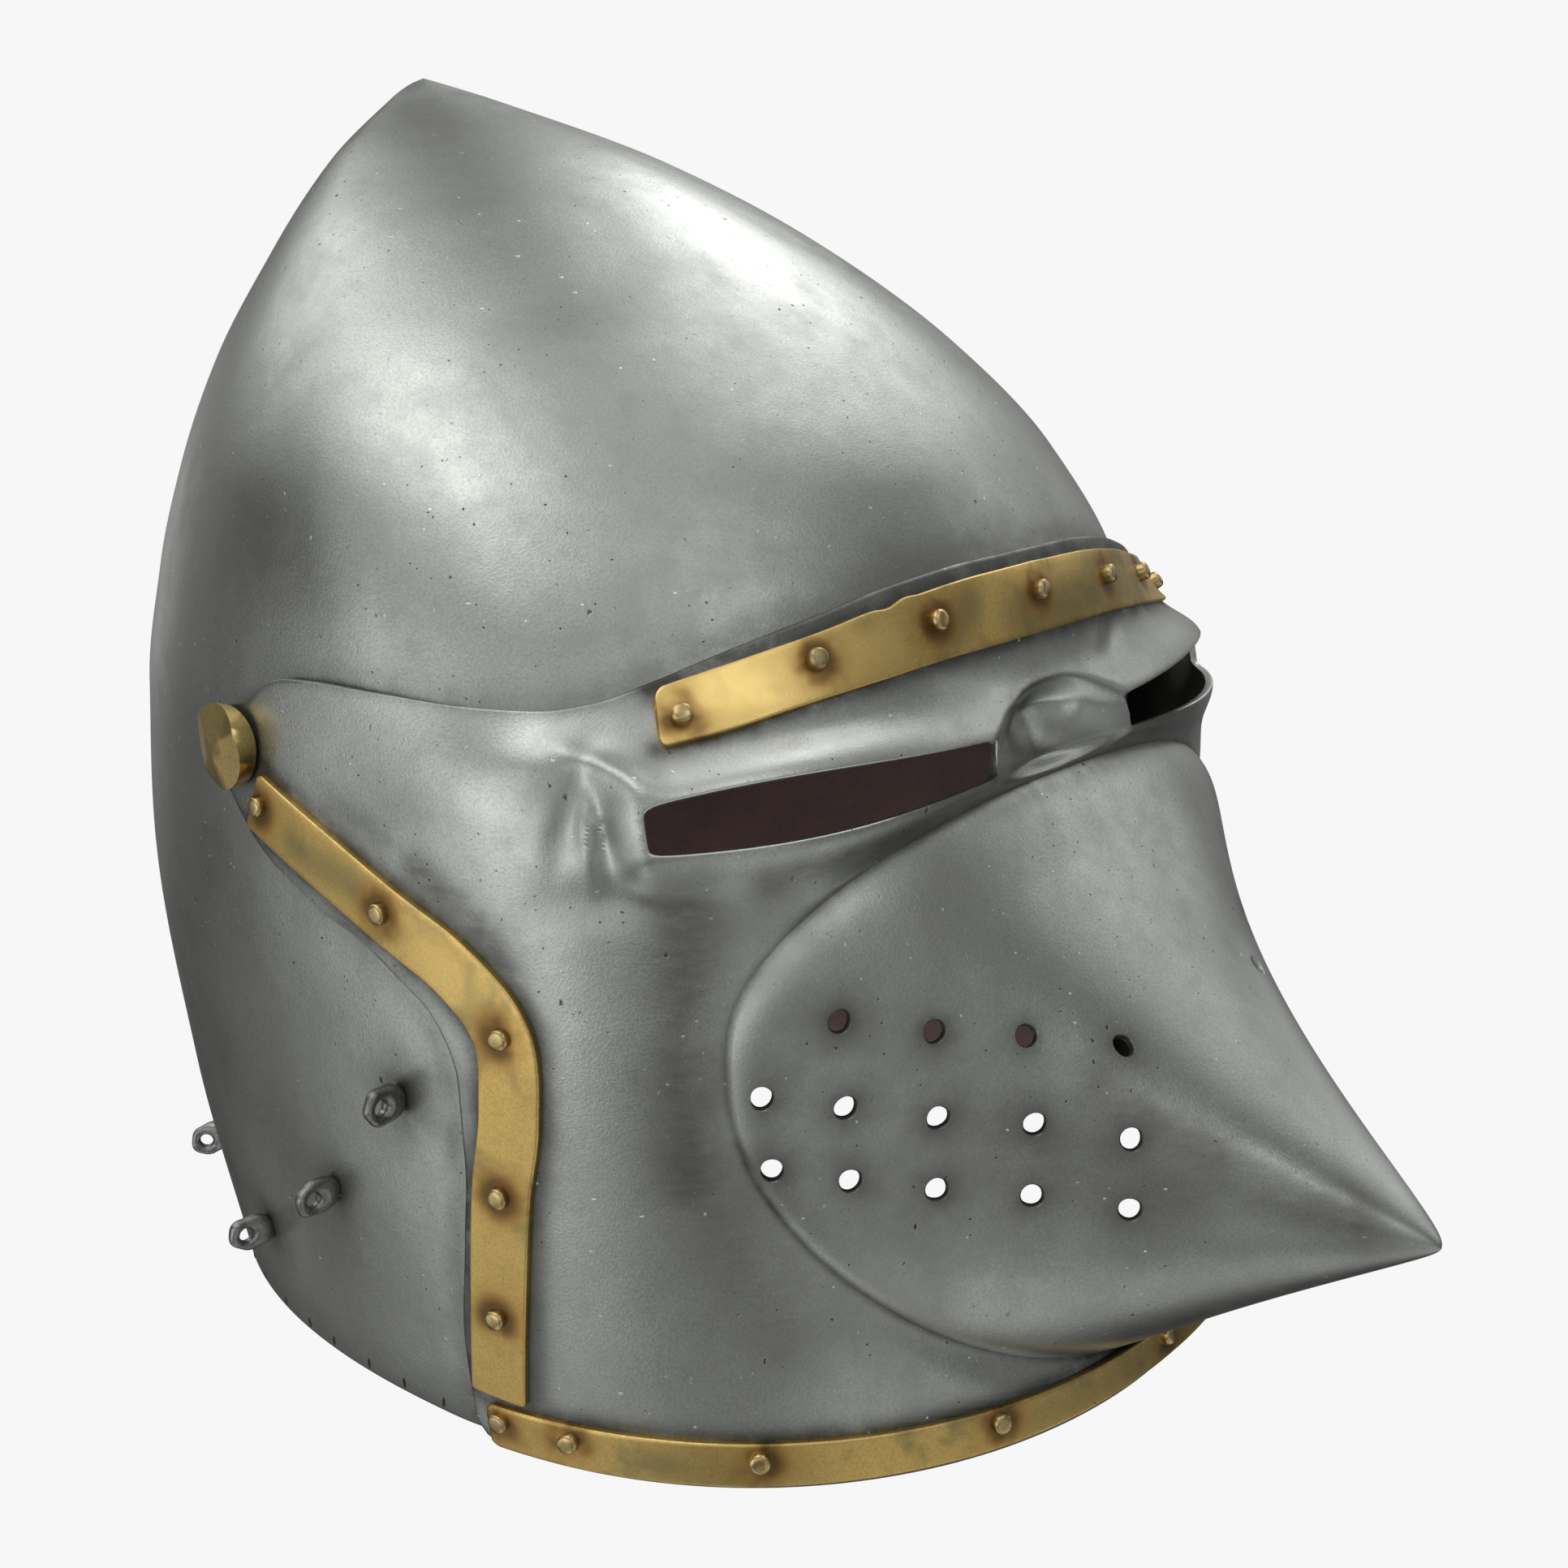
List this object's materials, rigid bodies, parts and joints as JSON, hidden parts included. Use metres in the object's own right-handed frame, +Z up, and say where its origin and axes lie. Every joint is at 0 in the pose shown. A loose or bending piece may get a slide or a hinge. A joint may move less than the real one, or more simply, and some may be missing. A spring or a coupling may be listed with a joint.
{
  "type": "hounskull bascinet helmet",
  "caption": "Pointed steel war helmet with a snouted visor that lifts on two side pivots, brass edge bands, eye slits, breaths and a cloth lining.",
  "frame": {"origin": "centre of the overall box's base, on the plane of the hem", "axes": "+Z up; the wearer faces -Y; the wearer's right side, which the picture shows, is -X"},
  "size_m": [0.2436, 0.314, 0.265],
  "materials": {
    "steel": "satin, cloudy, with fine pits and scratches",
    "dark_steel": "dark forged steel, worn bright on the rims",
    "brass": "aged brass with brown tarnish round the rivets",
    "rivet_brass": "worn pale brass",
    "lining": "dark reddish brown twill"
  },
  "bodies": {
    "skull": {"skull": "steel", "lining": "lining", "pivot_bolt_right": "brass", "pivot_bolt_left": "brass", "neck_loop_right_1": "dark_steel", "neck_loop_right_2": "dark_steel", "neck_loop_right_3": "dark_steel", "neck_loop_right_4": "dark_steel", "neck_loop_left_1": "dark_steel", "neck_loop_left_2": "dark_steel", "neck_loop_left_3": "dark_steel", "neck_loop_left_4": "dark_steel"},
    "visor": {"visor": "steel", "brow_band": "brass", "hem_band": "brass", "cheek_band_right": "brass", "cheek_band_left": "brass", "brow_rivet_1": "rivet_brass", "brow_rivet_2": "rivet_brass", "brow_rivet_3": "rivet_brass", "brow_rivet_4": "rivet_brass", "brow_rivet_5": "rivet_brass", "brow_rivet_6": "rivet_brass", "brow_rivet_7": "rivet_brass", "hem_rivet_1": "rivet_brass", "hem_rivet_2": "rivet_brass", "hem_rivet_3": "rivet_brass", "hem_rivet_4": "rivet_brass", "hem_rivet_5": "rivet_brass", "hem_rivet_6": "rivet_brass", "hem_rivet_7": "rivet_brass", "hem_rivet_8": "rivet_brass", "hem_rivet_9": "rivet_brass", "cheek_rivet_right_1": "rivet_brass", "cheek_rivet_right_2": "rivet_brass", "cheek_rivet_right_3": "rivet_brass", "cheek_rivet_right_4": "rivet_brass", "cheek_rivet_right_5": "rivet_brass", "cheek_rivet_left_1": "rivet_brass", "cheek_rivet_left_2": "rivet_brass", "cheek_rivet_left_3": "rivet_brass", "cheek_rivet_left_4": "rivet_brass", "cheek_rivet_left_5": "rivet_brass"}
  },
  "joints": [
    {"name": "visor_pivot", "type": "hinge", "parent": "skull", "child": "visor", "pos_m": [0, 0.05, 0.1345], "axis": [-1, 0, 0], "range_deg": [0, 65]}
  ]
}
